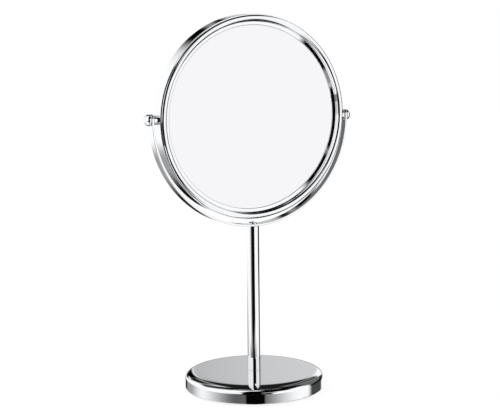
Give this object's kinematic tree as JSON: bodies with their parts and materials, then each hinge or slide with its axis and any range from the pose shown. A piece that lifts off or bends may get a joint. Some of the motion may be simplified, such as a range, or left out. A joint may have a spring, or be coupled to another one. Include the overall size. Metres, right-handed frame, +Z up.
{
  "type": "pedestal cosmetic mirror",
  "caption": "Free-standing round mirror: double-sided head that turns over in a strip yoke on a plain stem with a weighted round base.",
  "frame": {"origin": "centre of the underside of the base, where it rests on the table", "axes": "+Z up along the stem; -Y to the front, the way the plain glass faces as it stands; +X to the right along the pivots as seen from behind the glass, from the left knob to the right one"},
  "size_m": [0.2118, 0.13, 0.3469],
  "materials": {
    "chrome": "bright polished chrome plate",
    "silvered_glass": "float glass silvered on its back, edge ground to a bevel",
    "clear_seal": "translucent soft PVC",
    "zinc_steel": "bright zinc plate",
    "cast_iron": "as cast, black primer",
    "pad_rubber": "black closed-cell EVA",
    "nylon": "natural moulded nylon",
    "abs_white": "moulded ABS",
    "backing_foam": "grey polyethylene foam sheet"
  },
  "bodies": {
    "stand": {"base_shell": "chrome", "ballast_disc": "cast_iron", "base_plate": "zinc_steel", "foot_pad": "pad_rubber", "stem_bolt": "zinc_steel", "spring_washer": "zinc_steel", "plain_washer": "zinc_steel", "stem_tube": "chrome", "lower_insert": "zinc_steel", "upper_insert": "zinc_steel", "yoke": "chrome", "yoke_screw": "chrome", "left_bush": "nylon", "right_bush": "nylon"},
    "head": {"centre_band": "chrome", "front_bezel": "chrome", "rear_bezel": "chrome", "front_seal": "clear_seal", "rear_seal": "clear_seal", "plain_glass": "silvered_glass", "magnifying_glass": "silvered_glass", "backing_sheet": "backing_foam", "carrier_ring": "abs_white", "left_pivot_stud": "zinc_steel", "right_pivot_stud": "zinc_steel", "left_post": "chrome", "right_post": "chrome", "left_washer": "nylon", "right_washer": "nylon", "left_knob": "chrome", "right_knob": "chrome"}
  },
  "joints": [
    {"name": "head_tilt", "type": "hinge", "parent": "stand", "child": "head", "pos_m": [0, 0, 0.253], "axis": [1, 0, 0], "continuous": true}
  ]
}
